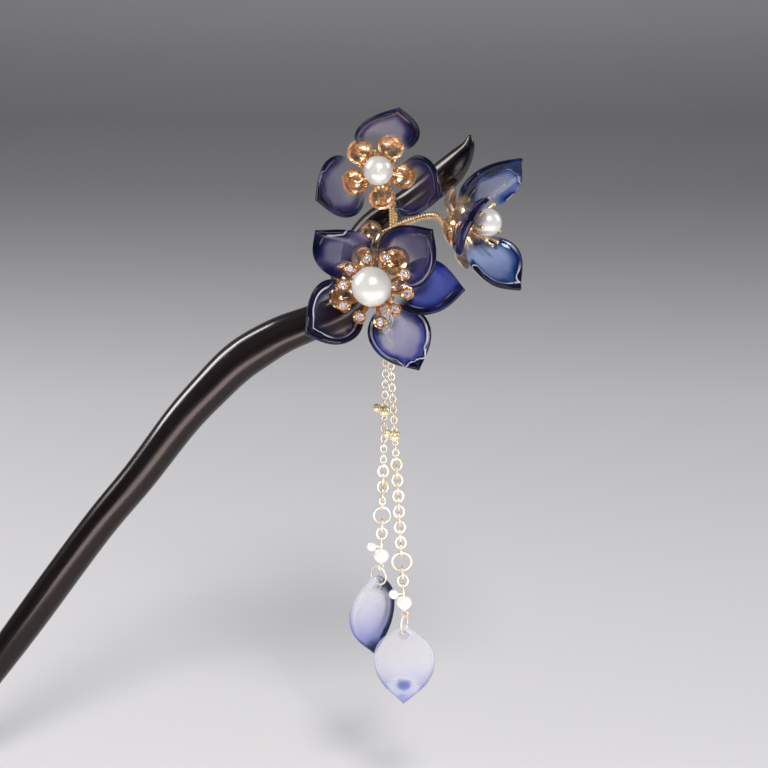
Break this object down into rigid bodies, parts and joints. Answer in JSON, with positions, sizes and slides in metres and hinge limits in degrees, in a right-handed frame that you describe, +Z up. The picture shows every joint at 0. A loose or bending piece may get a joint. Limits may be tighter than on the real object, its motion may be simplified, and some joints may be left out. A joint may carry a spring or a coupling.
{
  "type": "hair stick",
  "caption": "Curved dark wood hair stick with a leaf-shaped head, blue glass flowers with pearls on gold cups and coiled stems, and gold chain tassels ending in glass petals.",
  "frame": {"origin": "on the axis of the stick, in the straight part that is pushed into the hair", "axes": "+Z up with the tassels hanging down, +X to the right seen from the front, +Y away from the front, so the flowers face -Y and the stick's curve lies in the XZ plane"},
  "size_m": [0.1325, 0.028, 0.1531],
  "materials": {
    "wood": "polished",
    "blue_glass": "gloss",
    "pale_glass": "gloss",
    "gold": "polished",
    "pearl": "satin",
    "crystal": "gloss"
  },
  "bodies": {
    "root": {"stick": "wood", "calyx_a": "gold", "petal_a1": "blue_glass", "petal_a2": "blue_glass", "petal_a3": "blue_glass", "petal_a4": "blue_glass", "petal_a5": "blue_glass", "stamens_a": "gold", "crystals_a": "crystal", "pearl_a": "pearl", "spring_b": "gold", "calyx_b": "gold", "petal_b1": "blue_glass", "petal_b2": "blue_glass", "petal_b3": "blue_glass", "stamens_b": "gold", "pearl_b": "pearl", "spring_c": "gold", "calyx_c": "gold", "petal_c1": "blue_glass", "petal_c2": "blue_glass", "petal_c3": "blue_glass", "stamens_c": "gold", "pearl_c": "pearl", "chain_ring": "gold", "fine_chain_left": "gold", "ball_left": "gold", "lower_chain_left": "gold", "large_chain_left": "gold", "end_ring_left": "gold", "end_link_left": "gold", "bead_pin_left": "gold", "large_bead_left": "pearl", "small_bead_left": "pearl", "drop_ring_left": "gold", "drop_left": "pale_glass", "fine_chain_right": "gold", "ball_right": "gold", "lower_chain_right": "gold", "large_chain_right": "gold", "end_ring_right": "gold", "end_link_right": "gold", "bead_pin_right": "gold", "large_bead_right": "pearl", "small_bead_right": "pearl", "drop_ring_right": "gold", "drop_right": "pale_glass"}
  },
  "joints": []
}
